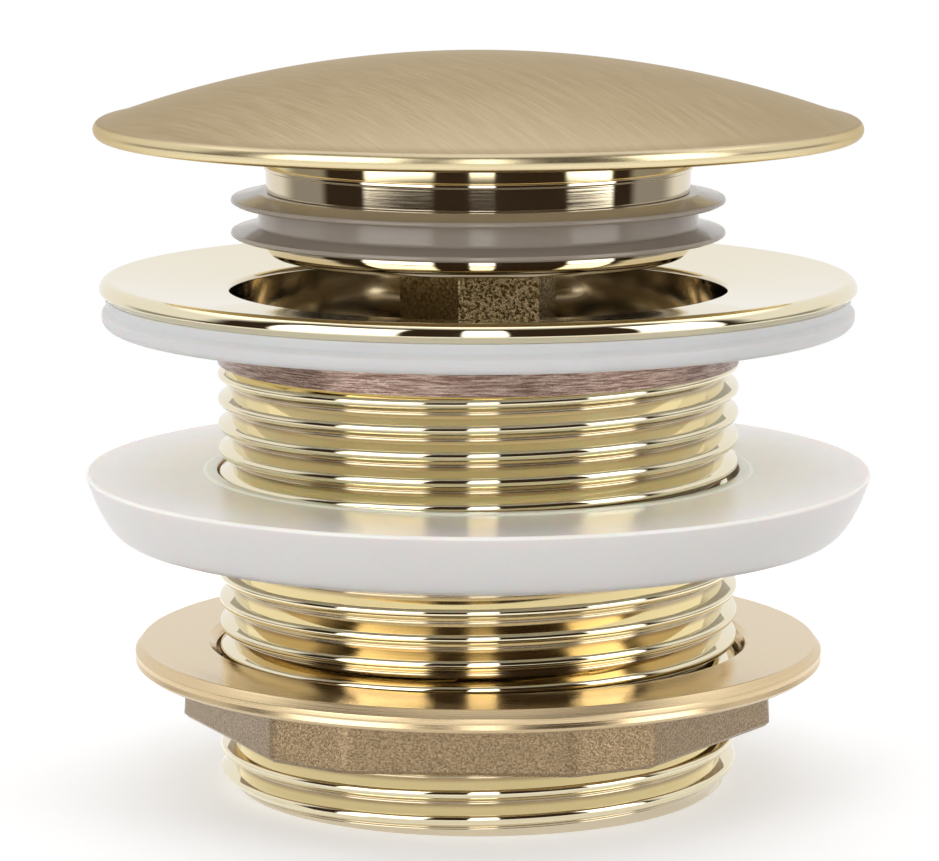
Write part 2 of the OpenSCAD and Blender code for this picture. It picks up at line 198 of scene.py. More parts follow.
class Wire:
    """A node's output that takes part in arithmetic: each operator adds one Math node."""

    def __init__(self, finish, socket):
        self.finish = finish
        self.socket = socket

    def __add__(self, other):
        return self.finish.maths("ADD", self, other)

    def __sub__(self, other):
        return self.finish.maths("SUBTRACT", self, other)

    def __rsub__(self, other):
        return self.finish.maths("SUBTRACT", other, self)

    def __mul__(self, other):
        return self.finish.maths("MULTIPLY", self, other)

    __radd__ = __add__
    __rmul__ = __mul__


class Finish:
    """A material, or the world, whose nodes are added one at a time by node()."""

    def __init__(self, name, owner=None, **constants):
        self.owner = owner or bpy.data.materials.new(name)
        self.owner.use_nodes = True
        self.tree = self.owner.node_tree
        self.shader = next(n for n in self.tree.nodes if n.type in ("BSDF_PRINCIPLED", "BACKGROUND"))
        self.feed(self.shader, {key.replace("_", " "): value for key, value in constants.items()})

    def feed(self, node, inputs):
        """Sets each named or numbered socket to a value, or links it where the value is a wire."""
        for key, value in inputs.items():
            if isinstance(value, Wire):
                self.tree.links.new(value.socket, node.inputs[key])
            elif node.inputs[key].type == "RGBA" and len(value) == 3:
                node.inputs[key].default_value = (*value, 1.0)
            else:
                node.inputs[key].default_value = value

    def node(self, kind, settings=None, inputs=None, output=0):
        """Adds a node of any kind, with its settings first and then its sockets' values or wires."""
        new = self.tree.nodes.new(kind)
        for key, value in (settings or {}).items():
            setattr(new, key, value)
        self.feed(new, inputs or {})
        return Wire(self, new.outputs[output])

    def maths(self, operation, *values):
        return self.node("ShaderNodeMath", {"operation": operation}, dict(enumerate(values)))

    def parts(self, vector):
        """A vector's X, Y and Z."""
        return [self.node("ShaderNodeSeparateXYZ", None, {0: vector}, axis) for axis in range(3)]

    def place(self):
        """The point's X, Y and Z in mm."""
        spot = self.node("ShaderNodeTexCoord", output="Object")
        return self.parts(self.node("ShaderNodeVectorMath", {"operation": "SCALE"}, {0: spot, "Scale": 1 / MM}))

    def radius(self, x, y):
        """The distance from the Z axis."""
        return self.maths("SQRT", x * x + y * y)

    def azimuth(self, x, y):
        """The direction round the Z axis, in radians from X."""
        return self.maths("ARCTAN2", y, x)

    def ramp(self, value, low, high, to_low=0.0, to_high=1.0):
        """A smooth step from to_low at low to to_high at high."""
        return self.node("ShaderNodeMapRange", {"interpolation_type": "SMOOTHSTEP"},
                         {0: value, 1: low, 2: high, 3: to_low, 4: to_high})

    def noise(self, x, y, z, detail=2.0, roughness=0.5):
        """Noise over a point given by three wires or numbers."""
        spot = self.node("ShaderNodeCombineXYZ", None, {0: x, 1: y, 2: z})
        return self.node("ShaderNodeTexNoise", None,
                         {"Vector": spot, "Scale": 1.0, "Detail": detail, "Roughness": roughness}, "Fac")

    def seen(self, name, *others):
        """1 on rays of the named kinds, such as Is Camera Ray, and 0 on all others."""
        total = self.node("ShaderNodeLightPath", output=name)
        for other in others:
            total = self.maths("MAXIMUM", total, self.node("ShaderNodeLightPath", output=other))
        return total

    def blend(self, amount, first, second):
        """The first colour where amount is 0 and the second where it is 1."""
        return self.node("ShaderNodeMix", {"data_type": "RGBA"}, {0: amount, 6: first, 7: second}, 2)

    def bump(self, height, strength, distance=0.0001):
        return self.node("ShaderNodeBump", None,
                         {"Strength": strength, "Distance": distance, "Height": height})

    def paint(self, *pieces):
        for piece in pieces:
            piece.data.materials.clear()
            piece.data.materials.append(self.owner)


plated = Finish("plated_casting", Metallic=1.0)
x, y, z = plated.place()
radius = plated.radius(x, y)
azimuth = plated.azimuth(x, y)
on_neck = plated.ramp(z, THREAD_TOP - 0.02, THREAD_TOP + 0.04)
below_flange = plated.ramp(z, FLANGE_LOW - 0.1, FLANGE_LOW - 0.2)
neck = on_neck * below_flange * plated.ramp(radius, TAIL_R - 0.3, TAIL_R - 0.1)
turning = plated.noise(azimuth * 9.0, radius * 0.2, z * 8.0, 4.0, 0.75)
smudge = plated.noise(x * 0.12, y * 0.12, z * 0.12, 3.0)
inner = plated.ramp(radius, MOUTH_R + 0.3, MOUTH_R - 0.1)
gold = plated.blend(inner, plated.blend(smudge, WARM_GOLD, PALE_GOLD), MOUTH_GOLD)
brushed = plated.blend(plated.ramp(turning, 0.38, 0.62), NECK_DARK, NECK_LIGHT)
plated.feed(plated.shader, {
    "Base Color": plated.blend(neck, gold, brushed),
    "Roughness": neck * 0.14 + inner * 0.06 + smudge * 0.04 + 0.02,
    "Normal": plated.bump(turning * neck, 0.6)})
plated.paint(waste)
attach(waste, "waste")
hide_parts("waste_body")

# Spider and hub
# Four cast arms hold the hub that the cartridge screws into. They are part of the casting, with
# draft and soft fillets where they meet the hub and the wall, and have the same plating.

ARM_LOW = 33.6
ARM_HIGH = 37.6
ARM_W = 3.4
ARM_STEPS = 25
ARM_COLUMNS = 32
ARM_DRAFT = 0.12
SQUARENESS = 0.42
FLARE = 1.3
FLARE_SHARE = 0.22
HUB_R = 10.5
HUB_BORE = 7.06
HUB_TOP = 41.0
HUB_SINK = 0.8
WALL_SINK = 0.9


def tube(name, spots):
    """A tube through rings of points in mm, with open ends."""
    rings, count = spots.shape[:2]
    ring = np.arange(rings - 1)[:, None] * count
    point = np.arange(count)[None, :]
    after = (point + 1) % count
    faces = np.stack([ring + point, ring + after, ring + count + after, ring + count + point], axis=-1)
    return solid(name, spots, faces)


def arm(name, azimuth):
    """One arm: a rounded section carried from inside the hub to inside the wall. Its half width is
    half the arm's width plus a flare that grows with the square of the nearness to either end."""
    t = np.linspace(0, 1, ARM_STEPS)[:, None]
    start, end = HUB_R - HUB_SINK, BORE_R + WALL_SINK
    reach = start + (end - start) * t
    flare = FLARE * (np.clip(1 - t / FLARE_SHARE, 0, 1) ** 2 + np.clip(1 - (1 - t) / FLARE_SHARE, 0, 1) ** 2)
    turn = FULL_TURN * np.arange(ARM_COLUMNS)[None, :] / ARM_COLUMNS
    across = np.sign(np.cos(turn)) * np.abs(np.cos(turn)) ** SQUARENESS * (ARM_W / 2 + flare)
    up = np.sign(np.sin(turn)) * np.abs(np.sin(turn)) ** SQUARENESS * ((ARM_HIGH - ARM_LOW) / 2 + flare / 2)
    across = across * (1 - ARM_DRAFT * np.sin(turn))
    east, north = np.cos(np.radians(azimuth)), np.sin(np.radians(azimuth))
    piece = tube(name, np.stack([
        reach * east - across * north, reach * north + across * east, (ARM_HIGH + ARM_LOW) / 2 + up], axis=-1))
    work = bmesh.new()
    work.from_mesh(piece.data)
    bmesh.ops.holes_fill(work, edges=work.edges)
    bmesh.ops.recalc_face_normals(work, faces=work.faces)
    work.to_mesh(piece.data)
    work.free()
    return piece


hub = lathe("hub", rounded([
    (HUB_BORE, ARM_LOW, 0.1), (HUB_R, ARM_LOW, 0.6), (HUB_R, HUB_TOP, 0.9), (HUB_BORE, HUB_TOP, 0.3)]))
arms = [arm(f"arm_{k}", 45 + 90 * k) for k in range(4)]
for piece in [hub, *arms]:
    plated.paint(piece)
    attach(piece, "waste")
    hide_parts("waste_body")

# Cartridge
# A turned brass barrel with an M14 thread screws down into the hub, and its collar seats on it. The
# hexagon above takes a spanner; it keeps the slightly rough look of metal that was plated unpolished.

HEX_APOTHEM = 6.5
HEX_TURN = -73.3
HEX_TOP = 48.2
HEX_HARDNESS = 90
HEX_EDGE = 0.15
COLLAR_R = 9.0
COLLAR_TOP = 42.5
COLLAR_EDGE = 0.3
HEAD_BORE = 4.4
BARREL_R = 7.0
BARREL_END_R = 6.3
BARREL_CORE_R = 6.36
BARREL_LOW = 7.0
BARREL_PITCH = 1.0
BARREL_BORE = 5.3
BARREL_COLUMNS = 121

ROUGH_DARK = (0.50, 0.39, 0.20)
ROUGH_LIGHT = (0.66, 0.53, 0.30)


def flats(apothem, count, turn, azimuth, hardness):
    """The radius of a regular polygon at each azimuth in degrees, apothem / cos(angle from the nearest
    flat), with soft corners: a sum over all the flats raised to a high power, the hardness."""
    normals = turn + np.arange(count) * 360 / count
    lean = np.maximum(np.cos(np.radians(azimuth[None, :] - normals[:, None])), 0)
    return apothem * np.sum(lean ** hardness, axis=0) ** (-1 / hardness)


degrees = np.linspace(0, 360, FINE_COLUMNS)
hexagon = flats(HEX_APOTHEM, 6, HEX_TURN, degrees, HEX_HARDNESS)
corner = hexagon - HEX_APOTHEM
chamfer = corner * 0.55
head = skin("cartridge_head", levels(
    FINE_COLUMNS, (HEAD_BORE, HUB_TOP), (COLLAR_R - COLLAR_EDGE, HUB_TOP), (COLLAR_R, HUB_TOP + COLLAR_EDGE),
    (COLLAR_R, COLLAR_TOP - COLLAR_EDGE), (COLLAR_R - COLLAR_EDGE, COLLAR_TOP), (hexagon, COLLAR_TOP),
    (hexagon, COLLAR_TOP + 2), (hexagon, HEX_TOP - HEX_EDGE - chamfer),
    (hexagon - corner / 2, HEX_TOP - HEX_EDGE - chamfer / 2),
    (np.minimum(hexagon, HEX_APOTHEM), HEX_TOP - 0.12), (HEX_APOTHEM - 0.2, HEX_TOP),
    (HEAD_BORE + 0.2, HEX_TOP), (HEAD_BORE, HEX_TOP - 0.2)))
outside = thread_rows(BARREL_R, BARREL_PITCH, BARREL_LOW, HUB_TOP, 0.0, BARREL_COLUMNS)
outside[..., 0] = np.minimum(outside[..., 0], BARREL_END_R + outside[..., 1] - BARREL_LOW)
inside = rounded([
    (BARREL_CORE_R, HUB_TOP, 0), (BARREL_BORE, HUB_TOP, 0.1),
    (BARREL_BORE, BARREL_LOW, 0.2), (BARREL_END_R, BARREL_LOW, 0)])
barrel = skin("cartridge_barrel", np.concatenate([outside, levels(BARREL_COLUMNS, *inside)]))

rough_plate = Finish("rough_plate", Metallic=1.0)
x, y, z = rough_plate.place()
azimuth = rough_plate.azimuth(x, y)
grain = rough_plate.noise(x * 3.2, y * 3.2, z * 3.2, 5.0, 0.65)
speck = rough_plate.noise(x * 3.1, y * 3.1, z * 2.2, 3.0, 0.6)
rubbed = rough_plate.ramp(azimuth, -1.79, -1.82)
pitted = rough_plate.ramp(grain, 0.45, 0.75) + speck * 0.3
rough_plate.feed(rough_plate.shader, {
    "Base Color": rough_plate.blend(grain, ROUGH_DARK, ROUGH_LIGHT),
    "Roughness": rough_plate.ramp(grain, 0.35, 0.65, 0.10, 0.24),
    "Normal": rough_plate.bump(pitted * (1 - rubbed * 0.9), 0.4)})
rough_plate.paint(head, barrel)
for piece in (head, barrel):
    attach(piece, "waste")
    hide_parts("cartridge_body")

# Works of the cartridge
# Rod, washers, clips, rotor and pins sit inside the barrel. They are turned, stamped or moulded, so
# each keeps its solid's shape and takes the finish of its stock. The spring is wound here out of
# round wire with its end turns closed.

FINE_BUMP = 0.00005
SPRING_R = 4.6
SPRING_WIRE = 0.7
SPRING_TURNS = 7
SPRING_LOW = 9.5
SPRING_H = 16.5
SPRING_GAP = 0.06
SPRING_STEPS = 32
WIRE_COLUMNS = 12

BRASS_DARK = (0.70, 0.56, 0.32)
BRASS_LIGHT = (0.84, 0.72, 0.46)
STEEL_DARK = (0.50, 0.50, 0.50)
STEEL_LIGHT = (0.68, 0.68, 0.67)
PLASTIC_DARK = (0.78, 0.77, 0.73)
PLASTIC_LIGHT = (0.84, 0.83, 0.80)

turned = Finish("turned_brass", Metallic=1.0)
x, y, z = turned.place()
radius = turned.radius(x, y)
rings = turned.noise(radius * 9.0, z * 9.0, 0.0, 3.0)
turned.feed(turned.shader, {
    "Base Color": turned.blend(rings, BRASS_DARK, BRASS_LIGHT),
    "Roughness": turned.ramp(rings, 0.3, 0.7, 0.18, 0.34),
    "Normal": turned.bump(rings, 0.3, FINE_BUMP)})
for node in ("cartridge_base", "hub_lock_nut", "plunger_rod", "spring_cup", "stud_insert"):
    turned.paint(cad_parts[node])

bright_steel = Finish("bright_steel", Metallic=1.0)
x, y, z = bright_steel.place()
drawn = bright_steel.noise(x * 2.0, y * 2.0, z * 12.0, 3.0)
bright_steel.feed(bright_steel.shader, {
    "Base Color": bright_steel.blend(drawn, STEEL_DARK, STEEL_LIGHT),
    "Roughness": bright_steel.ramp(drawn, 0.3, 0.7, 0.2, 0.36),
    "Normal": bright_steel.bump(drawn, 0.2, FINE_BUMP)})
for node in ("guide_pins", "retaining_clip", "hub_washer", "thrust_washer", "rod_clip"):
    bright_steel.paint(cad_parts[node])


def coil():
    """Rings of points round the spring's wire. Its centre climbs one wire in the first and in the last
    turn and evenly between them. The first and last ring shrink to a point, which closes the ends."""
    turns = np.linspace(0, SPRING_TURNS, SPRING_STEPS * SPRING_TURNS + 1)
    turns = np.concatenate([turns[:1], turns, turns[-1:]])[:, None]
    wire_r = np.full_like(turns, SPRING_WIRE / 2)
    wire_r[[0, -1]] = 0
    top = SPRING_LOW + SPRING_H
    height = np.interp(turns, [0, 1, SPRING_TURNS - 1, SPRING_TURNS], [
        SPRING_LOW + SPRING_WIRE / 2, SPRING_LOW + SPRING_WIRE * 1.5,
        top - SPRING_WIRE * 1.5, top - SPRING_WIRE / 2 - SPRING_GAP])
    around = FULL_TURN * np.arange(WIRE_COLUMNS)[None, :] / WIRE_COLUMNS
    reach = SPRING_R + wire_r * np.cos(around)
    azimuth = FULL_TURN * turns
    return np.stack([reach * np.cos(azimuth), reach * np.sin(azimuth), height + wire_r * np.sin(around)], axis=-1)


spring = tube("return_coil", coil())
bright_steel.paint(spring)
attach(spring, "waste")
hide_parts("return_spring")
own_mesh(spring)

moulded = Finish("moulded_plastic")
x, y, z = moulded.place()
pebble = moulded.noise(x * 5.0, y * 5.0, z * 5.0, 4.0)
moulded.feed(moulded.shader, {
    "Base Color": moulded.blend(pebble, PLASTIC_DARK, PLASTIC_LIGHT),
    "Roughness": moulded.ramp(pebble, 0.3, 0.7, 0.38, 0.5),
    "Normal": moulded.bump(pebble, 0.2, FINE_BUMP)})
for node in ("guide_sleeve", "index_rotor"):
    moulded.paint(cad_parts[node])

# Cap
# The domed cap is pressed brass with a rolled rim, brushed straight across on top and left brighter
# on the rim's turn. Its spigot and boss below take the drum and the stud.

CAP_R = 35.0
DOME_R = 100.0
APEX = 67.4
SHELL = 1.8
BEAD_R = 0.85
BEAD_STEP = 0.35
RIM_LOW = 59.8
RIM_TOP = 61.5
HOLLOW_R = 33.2
SPIGOT_R = 19.3
SPIGOT_NECK = 17.8
SPIGOT_BORE = 15.6
SPIGOT_LOW = 55.1
BOSS_R = 7.0
BOSS_BORE = 5.0
BOSS_LOW = 60.2
BOSS_TOP = 65.1
DRUM_TOP = 57.3
BRUSH = np.radians(-60)

SATIN_DARK = (0.43, 0.35, 0.235)
SATIN_LIGHT = (0.505, 0.425, 0.298)
RIM_GOLD = (0.76, 0.645, 0.40)
SATIN_SHEEN = (0.72, 0.64, 0.50)

dome_z = APEX - DOME_R
inner_r = DOME_R - SHELL
dome_edge = np.degrees(np.arcsin((CAP_R - BEAD_R - BEAD_STEP) / DOME_R))
dome = arc(0, dome_z, DOME_R, 90, 90 - dome_edge, 40)
bead = arc(CAP_R - BEAD_R, RIM_LOW + BEAD_R, BEAD_R, 68, -150, 18)
hollow_ends = 90 - np.degrees(np.arcsin(np.array([HOLLOW_R, SPIGOT_R]) / inner_r))
hollow = arc(0, dome_z, inner_r, *hollow_ends, 12)
spigot = np.array([
    (SPIGOT_R, 64.0), (SPIGOT_R, 60.0), (SPIGOT_R - 0.12, DRUM_TOP), (SPIGOT_NECK, DRUM_TOP),
    (SPIGOT_NECK, SPIGOT_LOW + 0.2), (SPIGOT_NECK - 0.2, SPIGOT_LOW), (SPIGOT_BORE + 0.2, SPIGOT_LOW),
    (SPIGOT_BORE, SPIGOT_LOW + 0.2), (SPIGOT_BORE, 64.2),
    (BOSS_R + 0.2, BOSS_TOP), (BOSS_R, BOSS_TOP - 0.2), (BOSS_R, BOSS_LOW + 0.3), (BOSS_R - 0.2, BOSS_LOW),
    (BOSS_BORE + 0.1, BOSS_LOW), (BOSS_BORE, BOSS_LOW + 0.1), (BOSS_BORE, BOSS_TOP), (0.0, BOSS_TOP)])
cap = lathe("cap", np.concatenate([dome, bead, hollow, spigot]), FINE_COLUMNS, closed=False)

satin = Finish("brushed_satin", Metallic=1.0)
x, y, z = satin.place()
radius = satin.radius(x, y)
along = x * np.cos(BRUSH) + y * np.sin(BRUSH)
across = y * np.cos(BRUSH) - x * np.sin(BRUSH)
fine = satin.noise(along * 0.16, across * 5.0, 0.0, 3.0, 0.6)
coarse = satin.noise(along * 0.10, across * 1.1, 4.0, 3.0, 0.6)
stroke = fine * 0.6 + coarse * 0.4
rolled = satin.ramp(z, RIM_TOP - 0.15, RIM_TOP - 0.35)
bare_spigot = rolled * satin.ramp(radius, SPIGOT_R + 0.9, SPIGOT_R + 0.5)
strokes = satin.blend(satin.ramp(stroke, 0.3, 0.7), SATIN_DARK, SATIN_LIGHT)
dull = satin.ramp(stroke, 0.3, 0.7, 0.32, 0.42)
satin.feed(satin.shader, {
    "Base Color": satin.blend(rolled, strokes, RIM_GOLD),
    "Roughness": dull * (1 - rolled) + rolled * 0.25 - bare_spigot * 0.19,
    "Normal": satin.bump(stroke * (1 - rolled), 0.26),
    "Specular Tint": SATIN_SHEEN})
satin.paint(cap)
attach(cap, "plug")
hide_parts("plug_cap")

# Drum
# The skirt below the cap is turned brass, polished and plated, with a raised line at its top edge,
# faint turning marks, a groove for the seal and a rounded foot.

DRUM_R = 19.4
DRUM_LOW = 49.0
DRUM_BORE = 17.0
DRUM_WEB = 55.0
DRUM_TAPER = 0.088
LINE_R = 19.55
LINE_LOW = 56.9
GROOVE_R = 18.4
GROOVE_LOW = 50.6
GROOVE_TOP = 54.9

POLISHED_LIGHT = (0.76, 0.67, 0.49)
POLISHED_DARK = (0.70, 0.60, 0.42)

drum = lathe("drum", rounded([
    (DRUM_BORE, DRUM_LOW, 0.2), (DRUM_R, DRUM_LOW, 1.0), (DRUM_R, GROOVE_LOW, 0.03), (GROOVE_R, GROOVE_LOW, 0.03),
    (GROOVE_R, GROOVE_TOP, 0.03), (DRUM_R - DRUM_TAPER, GROOVE_TOP, 0.05), (DRUM_R, LINE_LOW, 0.05),
    (LINE_R, LINE_LOW + 0.08, 0.05), (LINE_R, DRUM_TOP, 0.08), (SPIGOT_NECK, DRUM_TOP, 0.03),
    (SPIGOT_NECK, DRUM_WEB, 0.03), (DRUM_BORE, DRUM_WEB, 0.1)]), FINE_COLUMNS)

polished = Finish("polished_plate", Metallic=1.0)
x, y, z = polished.place()
azimuth = polished.azimuth(x, y)
marks = polished.noise(azimuth * 0.7, 0.0, z * 6.0, 3.0, 0.7)
smudge = polished.noise(x * 0.2, y * 0.2, z * 0.2, 3.0)
polished.feed(polished.shader, {
    "Base Color": polished.blend(smudge, POLISHED_LIGHT, POLISHED_DARK),
    "Roughness": smudge * 0.04 + 0.03,
    "Normal": polished.bump(marks, 0.014)})
polished.paint(drum)
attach(drum, "plug")
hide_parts("plug_drum")

# Plug seal
# A moulded ring of translucent grey-brown silicone grips the drum's groove. Two thin lips stand out
# from it, each a little drooped, and wipe the mouth when the plug goes down.

LIP_R = 22.6
SEAL_R = 19.9
LOWER_LIP = 51.0
UPPER_LIP = 54.0

SILICONE_DARK = (0.56, 0.49, 0.42)
SILICONE_LIGHT = (0.62, 0.55, 0.48)

plug_seal = lathe("plug_seal", rounded([
    (GROOVE_R, GROOVE_LOW, 0), (SEAL_R - 0.1, GROOVE_LOW, 0.15), (SEAL_R, GROOVE_LOW + 0.25, 0.1),
    (LIP_R - 0.3, LOWER_LIP - 0.18, 0.1), (LIP_R, LOWER_LIP, 0.15), (LIP_R - 0.1, LOWER_LIP + 0.32, 0.1),
    (SEAL_R + 0.3, LOWER_LIP + 0.85, 0.35), (SEAL_R, UPPER_LIP - 0.2, 0.2),
    (LIP_R - 0.3, UPPER_LIP - 0.18, 0.1), (LIP_R, UPPER_LIP, 0.15), (LIP_R - 0.1, UPPER_LIP + 0.32, 0.1),
    (SEAL_R + 0.2, UPPER_LIP + 0.85, 0.15), (GROOVE_R, GROOVE_TOP, 0)]), FINE_COLUMNS)

silicone = Finish("grey_silicone", Transmission_Weight=0.45, IOR=1.41)
x, y, z = silicone.place()
cloud = silicone.noise(x * 0.2, y * 0.2, z * 0.2, 3.0)
speck = silicone.noise(x * 4.0, y * 4.0, z * 4.0, 3.0)
silicone.feed(silicone.shader, {
    "Base Color": silicone.blend(cloud, SILICONE_DARK, SILICONE_LIGHT),
    "Roughness": silicone.ramp(cloud, 0.3, 0.7, 0.10, 0.16),
    "Normal": silicone.bump(speck, 0.05)})
silicone.paint(plug_seal)
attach(plug_seal, "plug")
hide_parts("plug_seal")

# Seal under the flange
# A flat ring of matte white rubber, cut square and softened at its edges, with a shallow step where
# it meets the flange.

TOP_SEAL_R = 34.4
TOP_SEAL_BORE = 24.2
TOP_SEAL_LOW = 42.7
TOP_SEAL_STEP = 44.0
TOP_SEAL_TOP = 45.38

RUBBER_DARK = (0.58, 0.585, 0.59)
RUBBER_LIGHT = (0.62, 0.625, 0.63)

top_seal = lathe("flange_seal", rounded([
    (TOP_SEAL_BORE, TOP_SEAL_LOW, 0.3), (TOP_SEAL_R, TOP_SEAL_LOW, 0.9), (TOP_SEAL_R, TOP_SEAL_STEP, 0.25),
    (TOP_SEAL_R - 0.5, TOP_SEAL_STEP + 0.5, 0.2), (TOP_SEAL_R - 0.3, TOP_SEAL_TOP, 0.15),
    (TOP_SEAL_BORE, TOP_SEAL_TOP, 0.1)]))

white_rubber = Finish("white_rubber", Subsurface_Weight=0.3, Subsurface_Scale=0.001, IOR=1.45)
x, y, z = white_rubber.place()
bloom = white_rubber.noise(x * 0.15, y * 0.15, z * 0.15, 4.0)
speck = white_rubber.noise(x * 3.0, y * 3.0, z * 3.0, 3.0)
white_rubber.feed(white_rubber.shader, {
    "Base Color": white_rubber.blend(bloom, RUBBER_DARK, RUBBER_LIGHT),
    "Roughness": white_rubber.ramp(bloom, 0.3, 0.7, 0.36, 0.48),
    "Normal": white_rubber.bump(speck, 0.06)})
white_rubber.paint(top_seal)
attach(top_seal, "waste")
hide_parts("top_seal")

# Tapered lower seal
# A thick moulded ring of milky soft plastic. Its top is nearly flat with a low lip round the bore,
# and its side bellies in towards the bottom. It sits loose on the thread.

SEAL_TOP = 29.3
SEAL_LOW = 23.5
SEAL_BORE = 24.0
SEAL_LIP_R = 25.0
RIM_R = 36.0
BELLY_W = 4.0
BELLY_TOP = SEAL_TOP - 0.3
BELLY_POWER = 0.45

MILK_DARK = (0.665, 0.66, 0.65)
MILK_LIGHT = (0.705, 0.70, 0.695)
# The next two colours are painted light on the seal's top face, not tones of the plastic.
MILK_TOP_PAINTED_LIGHT = (0.84, 0.83, 0.80)
MILK_PAINTED_GOLD_GLOW = (0.93, 0.88, 0.75)

share = np.linspace(0, 1, 20)[:, None]
side = np.hstack([
    RIM_R - BELLY_W * (1 - share ** BELLY_POWER), SEAL_LOW + (BELLY_TOP - SEAL_LOW) * share])
ring = rounded([
    (RIM_R, SEAL_TOP - 0.25, 0), (RIM_R - 0.15, SEAL_TOP, 0.2), (SEAL_LIP_R + 0.3, SEAL_TOP - 0.1, 0.1),
    (SEAL_LIP_R, SEAL_TOP + 0.05, 0.1), (SEAL_BORE, SEAL_TOP + 0.05, 0.15), (SEAL_BORE, SEAL_LOW, 0.3)])
lower_seal = lathe("lower_seal", np.concatenate([side, ring]), FINE_COLUMNS)

milky = Finish("milky_plastic", Subsurface_Weight=0.5, Subsurface_Scale=0.002, IOR=1.4)
x, y, z = milky.place()
radius = milky.radius(x, y)
haze = milky.noise(x * 0.08, y * 0.08, z * 0.08, 3.0)
ripple = milky.noise(x * 0.25, y * 0.25, z * 0.25, 2.0)
face = milky.ramp(z, SEAL_TOP - 0.4, SEAL_TOP - 0.2)
walls = milky.blend(haze, MILK_DARK, MILK_LIGHT)
# Painted light: the top face is coloured lighter than the walls, standing in for light that the flange shades
# off, and a warm beige towards the bore is a painted reflection of the gold thread.
painted_light_top = milky.blend(milky.ramp(radius, 34.0, 28.0), MILK_TOP_PAINTED_LIGHT, MILK_PAINTED_GOLD_GLOW)
milky.feed(milky.shader, {
    "Base Color": milky.blend(face, walls, painted_light_top),
    "Roughness": milky.ramp(haze, 0.3, 0.7, 0.30, 0.38) - face * 0.16,
    "Normal": milky.bump(ripple, 0.05, 0.0002)})
milky.paint(lower_seal)
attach(lower_seal, "seal")
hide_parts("lower_seal")

# Backnut
# The nut is sand-cast brass: its flange is turned bright on top and at the edge, while the hexagon
# keeps the grainy skin of the mould. Its corners are cut off flat.

NUT_LOW = 6.1
NUT_HEX_TOP = 11.3
NUT_TOP = 13.4
NUT_FLANGE_R = 31.7
NUT_FLANGE_EDGE = 0.4
NUT_BORE = 24.2
NUT_THREAD_PHASE = 0.4
NUT_THREAD_DEPTH = 0.36
NUT_FLATS = 266
NUT_CORNERS = 296
NUT_HARDNESS = 700
NUT_EDGE = 0.35

FLANGE_DARK = (0.66, 0.50, 0.29)
FLANGE_LIGHT = (0.78, 0.62, 0.38)
CAST_DARK = (0.17, 0.118, 0.065)
CAST_LIGHT = (0.39, 0.285, 0.17)


def cut_hexagon(apothem, corner_cut):
    """A hexagon with flats at the apothem, and its corners cut off flat at corner_cut from the axis."""
    return np.minimum(flats(apothem, 6, NUT_FLATS, degrees, NUT_HARDNESS),
                      flats(corner_cut, 6, NUT_CORNERS, degrees, NUT_HARDNESS))


nut_low = cut_hexagon(25.3, 27.0)
nut_hex = cut_hexagon(25.2, 26.7)
groove = thread_rows(-NUT_BORE, THREAD_PITCH, NUT_LOW, NUT_TOP, NUT_THREAD_PHASE, FINE_COLUMNS)
groove_r = NUT_BORE + (-groove[..., 0] - NUT_BORE) * NUT_THREAD_DEPTH
groove_r = np.maximum(groove_r, NUT_BORE + 0.6 - (groove[..., 1] - NUT_LOW) * 1.2)
groove[..., 0] = np.maximum(groove_r, NUT_BORE + 0.8 - (NUT_TOP - groove[..., 1]) * 1.2)
flange = rounded([
    (NUT_FLANGE_R - 0.1, NUT_TOP - 1.3, 0), (NUT_FLANGE_R, NUT_TOP - 1.1, 0.1),
    (NUT_FLANGE_R, NUT_TOP - 0.75, 0.1), (NUT_FLANGE_R - 0.6, NUT_TOP, 0.15), (NUT_BORE + 0.8, NUT_TOP, 0)])
nut = skin("backnut", np.concatenate([
    levels(FINE_COLUMNS, (NUT_BORE + 0.6, NUT_LOW), (nut_low - NUT_EDGE, NUT_LOW), (nut_low, NUT_LOW + NUT_EDGE),
           (nut_hex, NUT_HEX_TOP - 0.2), (nut_hex + 0.15, NUT_HEX_TOP),
           (NUT_FLANGE_R - 0.5, NUT_HEX_TOP), (NUT_FLANGE_R, NUT_HEX_TOP + NUT_FLANGE_EDGE), *flange),
    groove[::-1]]))

cast = Finish("cast_brass", Metallic=1.0)
x, y, z = cast.place()
radius = cast.radius(x, y)
azimuth = cast.azimuth(x, y)
hexagon_mask = cast.ramp(z, NUT_HEX_TOP + 0.15, NUT_HEX_TOP - 0.05) * cast.ramp(radius, 24.6, 24.9)
turned_edge = cast.ramp(radius, NUT_FLANGE_R - 0.7, NUT_FLANGE_R - 0.5)
sand = cast.noise(x * 5.0, y * 5.0, z * 5.0, 3.0, 0.6)
lathe_marks = cast.noise(azimuth * 0.6, radius * 5.0, z * 5.0, 3.0, 0.65)
flange_brass = cast.blend(lathe_marks, FLANGE_DARK, FLANGE_LIGHT)
mould_skin = cast.blend(cast.ramp(sand, 0.3, 0.7), CAST_DARK, CAST_LIGHT)
cast.feed(cast.shader, {
    "Base Color": cast.blend(hexagon_mask, flange_brass, mould_skin),
    "Roughness": hexagon_mask * 0.02 + turned_edge * 0.12 + cast.ramp(lathe_marks, 0.3, 0.7, 0.10, 0.2),
    "Normal": cast.bump(sand * hexagon_mask + lathe_marks * 0.08 * (1 - hexagon_mask), 0.3, 0.0003)})
cast.paint(nut)
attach(nut, "nut")
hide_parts("backnut")

# Floor, light and camera
# A pale round floor under a studio of soft white panels with dark gaps between them, which the
# polished metal shows as bands. Camera and glass see the plain white ground behind.

